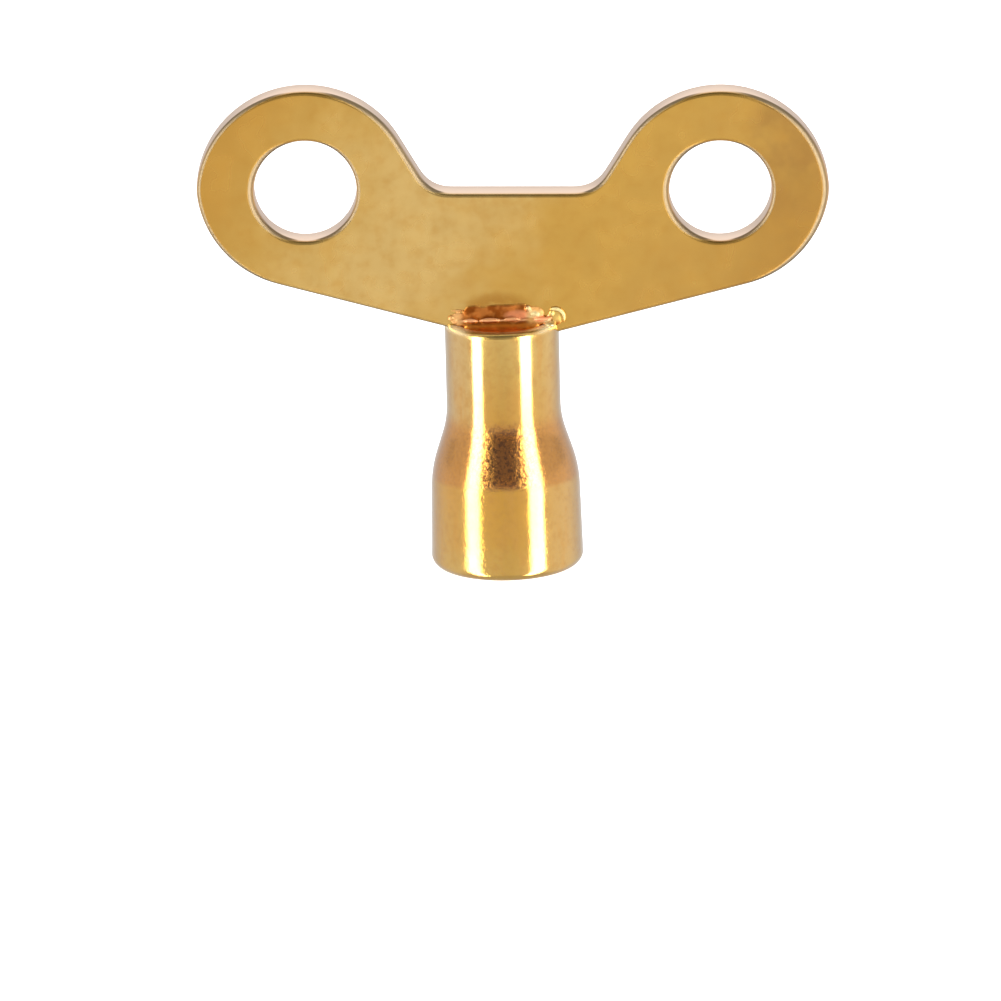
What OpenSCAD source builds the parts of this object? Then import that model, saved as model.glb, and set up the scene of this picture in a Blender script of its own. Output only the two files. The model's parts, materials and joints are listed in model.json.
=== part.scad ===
// Radiator bleed key: a stamped wing handle brazed into a tube with a square socket.
// The key stands on its socket end. +Z is the socket's axis, and the origin is the
// centre of the socket's mouth, on the plane that the foot rests on.

/* [Handle plate] */
// Thickness of the stamped sheet
plate_t = 2.2; // [1.6:0.1:2.6]
// Distance between the centres of the two finger holes
hole_spacing = 29.6; // [28:0.1:32]
// Diameter of each finger hole
hole_d = 7.3; // [6:0.1:8]
// Height of the finger holes' centres above the tube's rim
hole_rise = 9.75; // [9:0.05:12]
// Height of a lobe's top above its hole's centre
lobe_rise = 7.35; // [6.5:0.05:8]
// Depth of a lobe's belly below its hole's centre
lobe_drop = 7.15; // [6.5:0.05:8]
// Reach of a lobe outwards from its hole's centre
lobe_reach = 7.75; // [7:0.05:8.5]
// Radius of the arc over the top of a lobe
crown_r = 7.8; // [7.5:0.05:8.5]
// Radius of the arc under a lobe
belly_r = 7.8; // [7.5:0.05:8.5]
// Radius of the arc that rounds a lobe's outer end
end_r = 7.25; // [6.8:0.05:7.4]
// Depth of the notch's floor below the hole centres
notch_drop = 0.15; // [0:0.05:2]
// Slope of the notch's sides from level
notch_slope = 58.8; // [52:0.2:64]
// Radius in the notch's lower corners
notch_fillet = 2.4; // [1:0.1:3]
// Depth of the V edge's tip below the hole centres
tip_drop = 11.3; // [10.5:0.05:12]

/* [Socket tube] */
// Length of the tube
tube_h = 18; // [15:0.5:25]
// Outside diameter of the neck
neck_d = 8.2; // [7.8:0.1:8.5]
// Diameter of the neck's round bore
neck_bore = 6.3; // [5.8:0.1:6.3]
// Outside diameter of the barrel at the flare
barrel_d = 10.7; // [10.4:0.02:11]
// Outside diameter of the barrel at the foot
foot_d = 10.92; // [10.6:0.02:11.4]
// Height where the flare leaves the barrel
flare_z = 5.5; // [5:0.1:7]
// Half-angle of the flare's cone
flare_angle = 18; // [15:0.2:20]
// Radius that blends the neck into the flare
neck_blend = 7; // [3:0.5:8]
// Radius that blends the flare into the barrel
barrel_blend = 9; // [2:0.5:10]
// Radius of the rounding round the foot
foot_round = 0.8; // [0.6:0.05:1.2]
// Rounding of the rim's outer edge
rim_round = 0.4; // [0.1:0.05:0.5]
// Width and height of the edge break round the rim's bore
bore_break = 0.2; // [0.1:0.05:0.3]

/* [Square socket] */
// Width across the flats of the square socket
socket_af = 6.4; // [5:0.05:6.5]
// Depth of the socket at its full square
socket_depth = 6.5; // [5:0.1:6.6]
// Half-angle of the cone that closes the square down to the neck's bore
socket_taper = 30; // [25:1:40]
// Diameter of the dished mouth at the foot's face
mouth_d = 9.2; // [8.6:0.1:9.3]
// Slope of the dished mouth from the foot's face
mouth_slope = 26.6; // [15:0.2:35]

/* [As brazed] */
// Sideways shift of the handle at the tube's rim
handle_shift = 0.8; // [0:0.05:1]
// Lean of the handle from the tube's axis
handle_lean = 1.5; // [0:0.1:2]
// Height that the braze climbs up the plate above the rim
braze_rise = 1.3; // [0.8:0.1:1.6]
// Depth of the braze's surface below the rim, at the bore's wall
braze_dip = 0.4; // [0.3:0.05:0.8]
// Depth of the braze's underside below the rim
pool_depth = 1.8; // [1.6:0.1:2.5]
// Radius of the bead that spilled over the rim
bead_r = 0.5; // [0.3:0.05:0.6]

/* [Hidden] */
$fn = 96;
over = 1;                       // how far a cutting shape runs past a face
foot_edge = 0.9;                // height of the foot's rounding centre, as a share of its radius
corner_clear = 0.15;            // room between the square's corners and the cone that closes it
arch_r = 5.5;                   // radius of the braze's top edge, seen from the front

// Handle plate, in its own plane: x along the wing, y up, level with the hole centres
hole_x = hole_spacing / 2;
crown_y = lobe_rise - crown_r;
belly_y = belly_r - lobe_drop;
floor_y = -notch_drop;
crown_touch = [hole_x - crown_r * sin(notch_slope), crown_y + crown_r * cos(notch_slope)];
notch_x = crown_touch[0] - (crown_touch[1] - floor_y) / tan(notch_slope);
fillet_run = notch_fillet * tan(notch_slope / 2);
tip_angle = atan2(belly_y + tip_drop, hole_x)
    - asin(belly_r / norm([hole_x, belly_y + tip_drop]));
belly_touch = [hole_x + belly_r * sin(tip_angle), belly_y - belly_r * cos(tip_angle)];

// Socket tube
neck_r = neck_d / 2;
bore_r = neck_bore / 2;
barrel_r = barrel_d / 2;
foot_r = foot_d / 2;
foot_centre_z = foot_round * foot_edge;
flare_run = (barrel_r - neck_r - (neck_blend + barrel_blend) * (1 - cos(flare_angle)))
    / tan(flare_angle);
neck_z = flare_z + flare_run + (neck_blend + barrel_blend) * sin(flare_angle);
socket_limit_r = socket_af / sqrt(2) + corner_clear;
taper_h = (socket_limit_r - bore_r) / tan(socket_taper);
mouth_r = mouth_d / 2;

// Braze
fillet_r = bore_r + bore_break;
fillet_run_y = fillet_r - plate_t / 2;
braze_climb = braze_rise + braze_dip;

// Points on an arc about [cx, cy], from angle a0 to angle a1
function arc(cx, cy, r, a0, a1, steps) =
    [for (i = [0 : steps]) let (a = a0 + (a1 - a0) * i / steps) [cx + r * cos(a), cy + r * sin(a)]];

// One lobe: the common area of its crown and belly arcs, rounded at its outer end
module lobe() {
    intersection() {
        translate([hole_x, crown_y]) circle(crown_r);
        translate([hole_x, belly_y]) circle(belly_r);
        union() {
            translate([hole_x + lobe_reach - end_r, (crown_y + belly_y) / 2]) circle(end_r);
            translate([0, -lobe_reach - over]) square([hole_x, 2 * (lobe_reach + over)]);
        }
    }
}

// The web that joins one lobe to the plate's centre line, with the round in the notch's corner
module half_web() {
    polygon(concat(
        [[0, -tip_drop], belly_touch, [hole_x, 0], crown_touch],
        arc(notch_x - fillet_run, floor_y + notch_fillet, notch_fillet, notch_slope - 90, -90, 10),
        [[0, floor_y]]
    ));
}

module plate_outline() {
    for (side = [0, 1]) mirror([side, 0]) {
        lobe();
        half_web();
    }
}

// Moves a shape from the plate's own plane to where the plate was brazed
module as_brazed() {
    translate([handle_shift, 0, tube_h]) rotate([0, handle_lean, 0]) translate([0, 0, hole_rise])
        children();
}

module plate_body(thickness) {
    as_brazed() rotate([90, 0, 0]) translate([0, 0, -thickness / 2])
        linear_extrude(thickness) plate_outline();
}

module handle_plate() {
    color("goldenrod") difference() {
        plate_body(plate_t);
        for (side = [-1, 1]) as_brazed() translate([side * hole_x, 0, 0]) rotate([90, 0, 0])
            cylinder(h = plate_t + 2 * over, d = hole_d, center = true);
    }
}

// The tube's outside, turned about its axis, with no hollow in it
module tube_blank() {
    rotate_extrude() polygon(concat(
        [[0, tube_h]],
        arc(neck_r - rim_round, tube_h - rim_round, rim_round, 90, 0, 6),
        arc(neck_r + neck_blend, neck_z, neck_blend, 180, 180 + flare_angle, 8),
        arc(barrel_r - barrel_blend, flare_z, barrel_blend, flare_angle, 0, 8),
        arc(foot_r - foot_round, foot_centre_z, foot_round, 0, -asin(foot_centre_z / foot_round), 8),
        [[0, 0]]
    ));
}

// The square hole, which a cone closes down to the neck's bore
module square_hole() {
    intersection() {
        translate([-socket_af / 2, -socket_af / 2, -over])
            cube([socket_af, socket_af, over + socket_depth + taper_h]);
        rotate_extrude() polygon([
            [0, -2 * over],
            [socket_limit_r, -2 * over],
            [socket_limit_r, socket_depth],
            [bore_r, socket_depth + taper_h],
            [0, socket_depth + taper_h]
        ]);
    }
}

// The round bore of the neck, broken at the rim
module round_bore() {
    translate([0, 0, socket_depth]) cylinder(h = tube_h, r = bore_r);
    translate([0, 0, tube_h - bore_break])
        cylinder(h = bore_break + over, r1 = bore_r, r2 = fillet_r + over);
}

// The shallow cone that dishes the socket's mouth
module dished_mouth() {
    translate([0, 0, -over])
        cylinder(h = over + mouth_r * tan(mouth_slope), r1 = mouth_r + over / tan(mouth_slope), r2 = 0);
}

module tube_body() {
    difference() {
        tube_blank();
        square_hole();
        round_bore();
        dished_mouth();
        plate_body(plate_t);
    }
}

module socket_tube() {
    color("darkgoldenrod") tube_body();
}

// The braze across the bore: a pool whose surface sweeps up to the plate in a hollow fillet
module braze_section() {
    rotate([90, 0, 90]) translate([0, 0, -neck_r]) linear_extrude(2 * neck_r) for (side = [0, 1])
        mirror([side, 0]) polygon(concat(
            [[0, tube_h - pool_depth], [fillet_r, tube_h - pool_depth]],
            [for (a = [0 : 10 : 90])
                [fillet_r - fillet_run_y * sin(a), tube_h + braze_rise - braze_climb * cos(a)]],
            [[0, tube_h + braze_rise]]
        ));
}

// The same braze, kept inside the rim and arched over the width of the neck
module braze_mass() {
    intersection() {
        braze_section();
        cylinder(h = 2 * tube_h, r = fillet_r);
        translate([0, 0, tube_h + braze_rise - arch_r]) rotate([90, 0, 0])
            cylinder(h = foot_d, r = arch_r, center = true);
    }
}

// Half of the braze: side is -1 in front of the plate and 1 behind it
module braze_half(side) {
    intersection() {
        braze_mass();
        translate([-foot_d, side > 0 ? 0 : -foot_d, 0]) cube([2 * foot_d, foot_d, 2 * tube_h]);
    }
}

// Where the braze ran over the rim, on the side that the handle leans to
module spill() {
    translate([fillet_r / 2, -plate_t / 2, tube_h]) rotate([0, 90, 0])
        cylinder(h = neck_r - fillet_r / 2, r = bead_r);
    translate([neck_r, -plate_t / 2 - bead_r / 3, tube_h + bead_r * 1.2]) sphere(bead_r);
    translate([neck_r, -plate_t / 2 - bead_r / 2, tube_h + bead_r * 0.2]) sphere(bead_r);
}

module braze_front() {
    color("chocolate") difference() {
        union() {
            braze_half(-1);
            spill();
        }
        tube_body();
        plate_body(plate_t);
    }
}

module braze_rear() {
    color("chocolate") difference() {
        braze_half(1);
        tube_body();
        plate_body(plate_t);
    }
}

handle_plate();
socket_tube();
braze_front();
braze_rear();
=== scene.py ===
"""Radiator bleed key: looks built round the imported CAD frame.

Shapes are worked out in millimetres, in the CAD's frame, and written to the meshes in metres.
"""
import json
import math

import bmesh
import bpy
import numpy as np
from mathutils import Matrix, Vector, noise
from mathutils.geometry import delaunay_2d_cdt


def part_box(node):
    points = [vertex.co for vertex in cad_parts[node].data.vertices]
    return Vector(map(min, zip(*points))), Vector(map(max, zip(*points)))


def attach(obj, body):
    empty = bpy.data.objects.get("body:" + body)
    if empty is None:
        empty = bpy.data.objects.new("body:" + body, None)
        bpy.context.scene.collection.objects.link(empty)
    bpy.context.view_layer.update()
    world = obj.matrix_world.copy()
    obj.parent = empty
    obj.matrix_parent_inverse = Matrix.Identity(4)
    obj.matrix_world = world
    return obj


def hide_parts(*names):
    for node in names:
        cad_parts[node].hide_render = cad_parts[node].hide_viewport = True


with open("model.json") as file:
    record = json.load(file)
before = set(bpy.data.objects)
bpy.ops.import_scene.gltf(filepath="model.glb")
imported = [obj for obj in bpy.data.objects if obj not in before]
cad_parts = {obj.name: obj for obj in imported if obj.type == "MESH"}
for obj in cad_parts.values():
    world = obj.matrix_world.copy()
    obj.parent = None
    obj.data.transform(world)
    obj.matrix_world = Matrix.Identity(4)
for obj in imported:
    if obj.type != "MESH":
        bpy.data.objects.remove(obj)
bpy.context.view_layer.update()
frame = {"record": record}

MM = 0.001

# ---------------------------------------------------------------- sizes from the frame
mounts = {m["name"]: m for m in frame["record"]["mounts"]}
hole_left = Vector(mounts["finger_hole_left"]["pos_m"]) / MM
hole_right = Vector(mounts["finger_hole_right"]["pos_m"]) / MM
hole_r = mounts["finger_hole_left"]["dims"]["r_mm"]
plate_t = mounts["finger_hole_left"]["dims"]["length_mm"]
plate_mid = (hole_left + hole_right) / 2          # on the plate's centre line, level with the holes
hole_x = (hole_right - hole_left).length / 2
lean = math.atan2(hole_left.z - hole_right.z, hole_right.x - hole_left.x)

tube_high = Vector(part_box("socket_tube")[1]) / MM
tube_h = tube_high.z
foot_r = tube_high.x

# ---------------------------------------------------------------- sizes shared with the CAD, in mm
LOBE_RISE, LOBE_DROP, LOBE_REACH = 7.35, 7.15, 7.75
CROWN_R, BELLY_R, END_R = 7.8, 7.8, 7.25
NOTCH_DROP, NOTCH_SLOPE, NOTCH_FILLET = 0.15, math.radians(58.8), 2.4
TIP_DROP = 11.3
CROWN_Y, BELLY_Y = LOBE_RISE - CROWN_R, BELLY_R - LOBE_DROP     # centres of a lobe's arcs over its hole's

NECK_R, BORE_R, BARREL_R = 4.1, 3.15, 5.35
FLARE_Z, FLARE_ANGLE = 5.5, math.radians(18)
NECK_BLEND, BARREL_BLEND = 7.0, 9.0
FOOT_ROUND, RIM_ROUND, BORE_BREAK = 0.8, 0.4, 0.2
FOOT_EDGE = 0.9                                   # height of the foot's rounding centre over its radius
SOCKET_HALF, SOCKET_DEPTH, SOCKET_TAPER = 3.2, 6.5, math.radians(30)
CORNER_CLEAR = 0.15                               # between the square's corners and the cone that closes it
MOUTH_R, MOUTH_SLOPE = 4.6, math.radians(26.6)
BRAZE_RISE, POOL_DEPTH = 1.3, 1.8


# ================================================================ small helpers
def make_object(name, verts_mm, faces):
    """A mesh object in the scene, from points in millimetres."""
    mesh = bpy.data.meshes.new(name)
    mesh.from_pydata([tuple(c * MM for c in v) for v in verts_mm], [], faces)
    mesh.validate()
    mesh.update()
    obj = bpy.data.objects.new(name, mesh)
    bpy.context.scene.collection.objects.link(obj)
    return obj


def smooth_shading(obj, sharp_deg):
    """Shades smoothly over edges that bend by less than sharp_deg."""
    for polygon in obj.data.polygons:
        polygon.use_smooth = True
    obj.data.set_sharp_from_angle(angle=math.radians(sharp_deg))


def outward_faces(obj):
    """Turns every face's normal outwards."""
    bm = bmesh.new()
    bm.from_mesh(obj.data)
    bmesh.ops.recalc_face_normals(bm, faces=bm.faces)
    bm.to_mesh(obj.data)
    bm.free()


def arc_points(cx, cy, r, start, end, steps):
    """Points on an arc about (cx, cy), from one angle to another."""
    angles = np.linspace(start, end, steps + 1)
    return [(cx + r * math.cos(a), cy + r * math.sin(a)) for a in angles]


def step_between(low, high, value):
    """0 at low, 1 at high, and a smooth step between them."""
    t = min(max((value - low) / (high - low), 0.0), 1.0)
    return t * t * (3 - 2 * t)


# ================================================================ handle plate
def lobe_radius(angle):
    """Distance from a finger hole's centre to the lobe's edge, 0 pointing outwards and 90 degrees up."""
    discs = [(0.0, CROWN_Y, CROWN_R), (0.0, BELLY_Y, BELLY_R)]
    if math.cos(angle) > 0:
        discs.append((LOBE_REACH - END_R, (CROWN_Y + BELLY_Y) / 2, END_R))
    reach = []
    for cx, cy, r in discs:
        along = math.cos(angle) * cx + math.sin(angle) * cy
        reach.append(along + math.sqrt(along * along - cx * cx - cy * cy + r * r))
    return min(reach)


def half_outline():
    """The right half of the plate's edge, from the V's tip round the lobe to the notch's middle."""
    tip_angle = (math.atan2(BELLY_Y + TIP_DROP, hole_x)
                 - math.asin(BELLY_R / math.hypot(hole_x, BELLY_Y + TIP_DROP)))
    belly_touch = (BELLY_R * math.sin(tip_angle), BELLY_Y - BELLY_R * math.cos(tip_angle))
    crown_touch = (-CROWN_R * math.sin(NOTCH_SLOPE), CROWN_Y + CROWN_R * math.cos(NOTCH_SLOPE))
    start = math.atan2(belly_touch[1], belly_touch[0])
    end = math.atan2(crown_touch[1], crown_touch[0])
    lobe = []
    for angle in np.linspace(start, end, 140):
        r = lobe_radius(angle)
        lobe.append((hole_x + r * math.cos(angle), r * math.sin(angle)))
    floor_y = -NOTCH_DROP
    notch_x = hole_x + crown_touch[0] - (crown_touch[1] - floor_y) / math.tan(NOTCH_SLOPE)
    run = NOTCH_FILLET * math.tan(NOTCH_SLOPE / 2)
    corner = arc_points(notch_x - run, floor_y + NOTCH_FILLET, NOTCH_FILLET,
                        NOTCH_SLOPE - math.pi / 2, -math.pi / 2, 16)
    return [(0.0, -TIP_DROP)] + lobe + corner + [(0.0, floor_y)]


def evenly_spaced(points, spacing):
    """A closed line through points, resampled at an even spacing and rounded a little."""
    p = np.array(points)
    closed = np.vstack([p, p[:1]])
    length = np.concatenate([[0], np.cumsum(np.linalg.norm(np.diff(closed, axis=0), axis=1))])
    count = int(length[-1] / spacing)
    at = np.arange(count) * length[-1] / count
    even = np.stack([np.interp(at, length, closed[:, k]) for k in (0, 1)], axis=1)
    for _ in range(4):
        even = (np.roll(even, 1, axis=0) + 2 * even + np.roll(even, -1, axis=0)) / 4
    return even


def line_normals(points):
    """Unit normals of a closed anticlockwise line, pointing outwards."""
    tangent = np.roll(points, -1, axis=0) - np.roll(points, 1, axis=0)
    tangent /= np.linalg.norm(tangent, axis=1)[:, None]
    return np.stack([tangent[:, 1], -tangent[:, 0]], axis=1)


def rounded_wall(front_r, back_r, flat_margin):
    """Rings of a stamped edge as (inset, depth, edge weight): front face, rolled edge, wall, back.

    front_r and back_r hold one radius for each point of the edge.
    """
    half = plate_t / 2
    rings = [(front_r + flat_margin, -half + 0 * front_r, 0.0)]
    for a in np.linspace(0, math.pi / 2, 7):
        rings.append((front_r * (1 - math.sin(a)), -half + front_r * (1 - math.cos(a)), a / (math.pi / 2)))
    rings.append((0 * front_r, 0 * front_r, 1.0))
    for a in np.linspace(math.pi / 2, 0, 6):
        rings.append((back_r * (1 - math.sin(a)), half - back_r * (1 - math.cos(a)), a / (math.pi / 2)))
    rings.append((back_r + flat_margin, half + 0 * back_r, 0.0))
    return rings


def inside(points, loop):
    """Which points lie inside a closed loop."""
    x, y = points[:, 0], points[:, 1]
    hit = np.zeros(len(points), bool)
    for (x0, y0), (x1, y1) in zip(loop, np.roll(loop, -1, axis=0)):
        crosses = (y0 > y) != (y1 > y)
        if y1 != y0:
            hit ^= crosses & (x < (x1 - x0) * (y - y0) / (y1 - y0) + x0)
    return hit


def gap_to(points, loop):
    """Distance from each point to the nearest point of a loop."""
    return np.min(np.linalg.norm(points[:, None, :] - loop[None, :, :], axis=2), axis=1)


SLIVER = 0.002                                    # area over longest side, in mm, of a triangle left out


def face_triangles(outer, holes, grid):
    """Triangles between an outer loop and holes, with grid points inside so that the face can wave.

    Also says whether the points came through unchanged, as the caller needs them.
    """
    box_low, box_high = outer.min(0), outer.max(0)
    xs = np.arange(box_low[0], box_high[0], grid)
    ys = np.arange(box_low[1], box_high[1], grid * 0.87)
    lattice = np.array([(x + (row % 2) * grid / 2, y) for row, y in enumerate(ys) for x in xs])
    keep = inside(lattice, outer)
    for loop in [outer] + holes:
        keep &= gap_to(lattice, loop) > grid * 0.6
    for hole in holes:
        keep &= ~inside(lattice, hole)
    loops = [outer] + holes
    points = np.vstack(loops + [lattice[keep]])
    edges, first = [], 0
    for loop in loops:
        edges += [(first + i, first + (i + 1) % len(loop)) for i in range(len(loop))]
        first += len(loop)
    result = delaunay_2d_cdt([Vector(p) for p in points], edges, [], 0, 1e-6)
    triangles = np.array(result[2])
    centres = np.array([[sum(result[0][i][k] for i in t) / 3 for k in (0, 1)] for t in triangles])
    good = inside(centres, outer)
    for hole in holes:
        good &= ~inside(centres, hole)
    corners = points[triangles]
    sides = corners - np.roll(corners, 1, axis=1)
    area = abs(sides[:, 0, 0] * sides[:, 1, 1] - sides[:, 0, 1] * sides[:, 1, 0]) / 2
    good &= area / np.linalg.norm(sides, axis=2).max(axis=1) > SLIVER
    return points, triangles[good], len(result[0]) == len(points)


# Radii of the stamped edge in mm: at its sides, along its top, and what its right side and bottom add
EDGE_SIDE, EDGE_TOP, EDGE_RIGHT, EDGE_BOTTOM, EDGE_BACK = 0.34, 0.32, 0.22, 0.04, 0.10
WAVE = 0.007                                      # how far the face sinks between its high spots, in mm
EDGE_SPACING, FACE_GRID = 0.2, 0.55               # spacing of the points on the edge and in the face, in mm


def plate_to_frame(x, depth, y):
    """From the plate's own plane to the frame: the plate leans about Y."""
    c, s = math.cos(lean), math.sin(lean)
    return (plate_mid.x + x * c + y * s, depth, plate_mid.z - x * s + y * c)


def build_plate():
    """The stamped plate: rings round its edge and its holes, and a triangulated face on each side."""
    right = half_outline()
    left = [(-x, y) for x, y in reversed(right[1:-1])]
    outline = evenly_spaced(right + left, EDGE_SPACING)
    circle = np.array(arc_points(0, 0, hole_r, 0, 2 * math.pi * (1 - 1 / 150), 149))
    hole_loops = [circle + [side * hole_x, 0] for side in (-1, 1)]

    verts, weights, faces = [], [], []
    front_loops, back_loops = [], []
    for loop, direction in [(outline, 1)] + [(h, -1) for h in hole_loops]:
        normals = line_normals(loop) * direction
        up, down = np.clip(normals[:, 1], 0, 1), np.clip(-normals[:, 1], 0, 1)
        right_side = np.clip(normals[:, 0], 0, 1)
        front_r = EDGE_SIDE + (EDGE_TOP - EDGE_SIDE) * up + EDGE_RIGHT * right_side + EDGE_BOTTOM * down
        starts = []
        for insets, depths, weight in rounded_wall(front_r, EDGE_BACK + 0 * front_r, flat_margin=0.12):
            starts.append(len(verts))
            for p, n, inset, depth in zip(loop, normals, insets, depths):
                verts.append((p[0] - n[0] * inset, depth, p[1] - n[1] * inset))
                weights.append(weight)
        count = len(loop)
        for a, b in zip(starts, starts[1:]):
            for i in range(count):
                j = (i + 1) % count
                faces.append((a + i, a + j, b + j, b + i))
        front_loops.append(range(starts[0], starts[0] + count))
        back_loops.append(range(starts[-1], starts[-1] + count))

    for loops, depth in ((front_loops, -plate_t / 2), (back_loops, plate_t / 2)):
        flat = [np.array([(verts[i][0], verts[i][2]) for i in loop]) for loop in loops]
        points, triangles, same = face_triangles(flat[0], flat[1:], FACE_GRID)
        if not same:
            raise RuntimeError("the plate's face changed its points")
        index = [i for loop in loops for i in loop]
        inner = points[len(index):]
        gaps = np.min([gap_to(inner, loop) for loop in flat], axis=0)
        for p, gap in zip(inner, gaps):
            index.append(len(verts))
            lump = noise.noise(Vector((p[0] * 0.2, depth, p[1] * 0.2)))
            wave = WAVE * step_between(0.3, 3.0, gap) * (1 + lump)
            verts.append((p[0], depth - math.copysign(wave, depth), p[1]))
            weights.append(0.0)
        faces += [tuple(index[i] for i in t) for t in triangles]

    obj = make_object("stamped_plate", [plate_to_frame(*v) for v in verts], faces)
    obj.data.attributes.new("edge", "FLOAT", "POINT").data.foreach_set("value", weights)
    outward_faces(obj)
    smooth_shading(obj, 60)
    return obj


# ================================================================ socket tube
def socket_radius(angle):
    """Distance from the axis to the wall of the square socket, whose corners are a little round."""
    corner = 0.3
    a = (angle + math.pi / 4) % (math.pi / 2) - math.pi / 4
    flat = SOCKET_HALF / math.cos(a)
    dx, dy = abs(math.cos(a)), abs(math.sin(a))
    if flat * dy <= SOCKET_HALF - corner:
        return flat
    c = SOCKET_HALF - corner
    along = dx * c + dy * c
    return along + math.sqrt(along * along - 2 * c * c + corner * corner)


def outer_profile():
    """The tube's outside as (radius, z), from the rim's flat down to the foot's face."""
    blend = NECK_BLEND + BARREL_BLEND
    run = (BARREL_R - NECK_R - blend * (1 - math.cos(FLARE_ANGLE))) / math.tan(FLARE_ANGLE)
    neck_z = FLARE_Z + run + blend * math.sin(FLARE_ANGLE)
    foot_z = FOOT_ROUND * FOOT_EDGE
    profile = arc_points(NECK_R - RIM_ROUND, tube_h - RIM_ROUND, RIM_ROUND, math.pi / 2, 0, 9)
    profile += [(NECK_R, z) for z in np.linspace(tube_h - RIM_ROUND - 0.4, neck_z + 0.3, 10)]
    profile += arc_points(NECK_R + NECK_BLEND, neck_z, NECK_BLEND, math.pi, math.pi + FLARE_ANGLE, 12)
    cone_top = profile[-1]
    shoulder = arc_points(BARREL_R - BARREL_BLEND, FLARE_Z, BARREL_BLEND, FLARE_ANGLE, 0, 12)
    for t in np.linspace(0, 1, 8)[1:-1]:
        profile.append(tuple(a + (b - a) * t for a, b in zip(cone_top, shoulder[0])))
    profile += shoulder
    for t in np.linspace(0, 1, 14)[1:-1]:
        profile.append((BARREL_R + (foot_r - BARREL_R) * t, FLARE_Z + (foot_z - FLARE_Z) * t))
    profile += arc_points(foot_r - FOOT_ROUND, foot_z, FOOT_ROUND, 0, -math.asin(foot_z / FOOT_ROUND), 10)
    return profile


def inner_profile(angle):
    """The tube's inside at one angle, from the mouth up to the rim."""
    wall = socket_radius(angle)
    limit = SOCKET_HALF * math.sqrt(2) + CORNER_CLEAR
    break_r = 0.07                                # the break where the dish meets the socket's wall
    slope = math.tan(MOUTH_SLOPE)
    mouth_z = (MOUTH_R - wall) * slope
    points = []
    for t in np.linspace(0, 1, 7):
        points.append((MOUTH_R + (wall + break_r - MOUTH_R) * t, (MOUTH_R - wall - break_r) * slope * t))
    points.append((wall + break_r * 0.3, mouth_z + break_r * 0.1))
    points.append((wall, mouth_z + break_r))
    end_z = SOCKET_DEPTH + (limit - wall) / math.tan(SOCKET_TAPER)
    for t in np.linspace(0, 1, 9)[1:]:
        points.append((wall, mouth_z + break_r + (end_z - mouth_z - break_r) * t))
    bore_z = SOCKET_DEPTH + (limit - BORE_R) / math.tan(SOCKET_TAPER)
    points += [(wall + (BORE_R - wall) * t, end_z + (bore_z - end_z) * t) for t in (0.33, 0.67, 1.0)]
    points += [(BORE_R, z) for z in np.linspace(bore_z, tube_h - BORE_BREAK, 8)[1:]]
    for t in (0.12, 0.35, 0.65, 1.0):
        points.append((BORE_R + BORE_BREAK * t, tube_h - BORE_BREAK * (1 - t) ** 2.4))
    return points


TUBE_WAVE = 0.006                                 # how far the skin sinks between its high spots, in mm


def build_tube():
    """The tube as one skin, turned about its axis, with extra points at the square's corners."""
    angles = list(np.arange(0, 360, 1.5))
    for corner in (45, 135, 225, 315):
        angles += [corner + d for d in (-2.6, -1.9, -1.1, -0.5, 0.5, 1.1, 1.9, 2.6)]
    angles = np.radians(sorted(angles))
    outside = outer_profile()
    verts, weights, rings = [], [], len(outside) + len(inner_profile(0.0))
    for angle in angles:
        c, s = math.cos(angle), math.sin(angle)
        for k, (r, z) in enumerate(outside + inner_profile(angle)):
            if k < len(outside) and 0.3 < z < tube_h - RIM_ROUND:
                fade = step_between(0.3, 1.5, z) * step_between(tube_h - RIM_ROUND, tube_h - 2.0, z)
                r -= TUBE_WAVE * fade * (1 + noise.noise(Vector((c * 1.6, s * 1.6, z * 0.35))))
            verts.append((r * c, r * s, z))
            cut_face = BORE_R < r <= NECK_R - 0.25 and z > tube_h - 0.09
            weights.append(1.0 if cut_face else 0.0)
    faces = []
    for i in range(len(angles)):
        j = (i + 1) % len(angles)
        for k in range(rings):
            m = (k + 1) % rings
            faces.append((i * rings + k, j * rings + k, j * rings + m, i * rings + m))
    obj = make_object("swaged_tube", verts, faces)
    obj.data.attributes.new("edge", "FLOAT", "POINT").data.foreach_set("value", weights)
    outward_faces(obj)
    smooth_shading(obj, 35)
    return obj


# ================================================================ braze
SKIN_FOOT = 0.46                                  # height above the rim where the thin skin starts, in mm
CRESCENT_X, CRESCENT_Z, CRESCENT_R = 3.78, 0.34, 0.70
CRESCENT_ROD = 0.17                               # radius of the crescent's rod at its middle


def add_ellipsoid(bm, centre, radii):
    """Adds a closed ellipsoid, with its radii along X, Y and Z."""
    matrix = Matrix.Translation(centre) @ Matrix.Diagonal((*radii, 1.0))
    bmesh.ops.create_icosphere(bm, subdivisions=3, radius=1.0, matrix=matrix)


def wetted_height(x, side):
    """How high the braze wets the plate above the rim at x, with an uneven top edge."""
    left, right = (-2.3, 1.7) if side < 0 else (-0.6, 0.8)        # between these it stands at full height
    arch = step_between(-3.2, left, x) * step_between(3.0, right, x)
    uneven = 0.30 * noise.noise(Vector((x * 1.2, 4.0 * side, 2.0)))
    return 0.45 + (BRAZE_RISE - 0.25 + uneven) * arch


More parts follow.
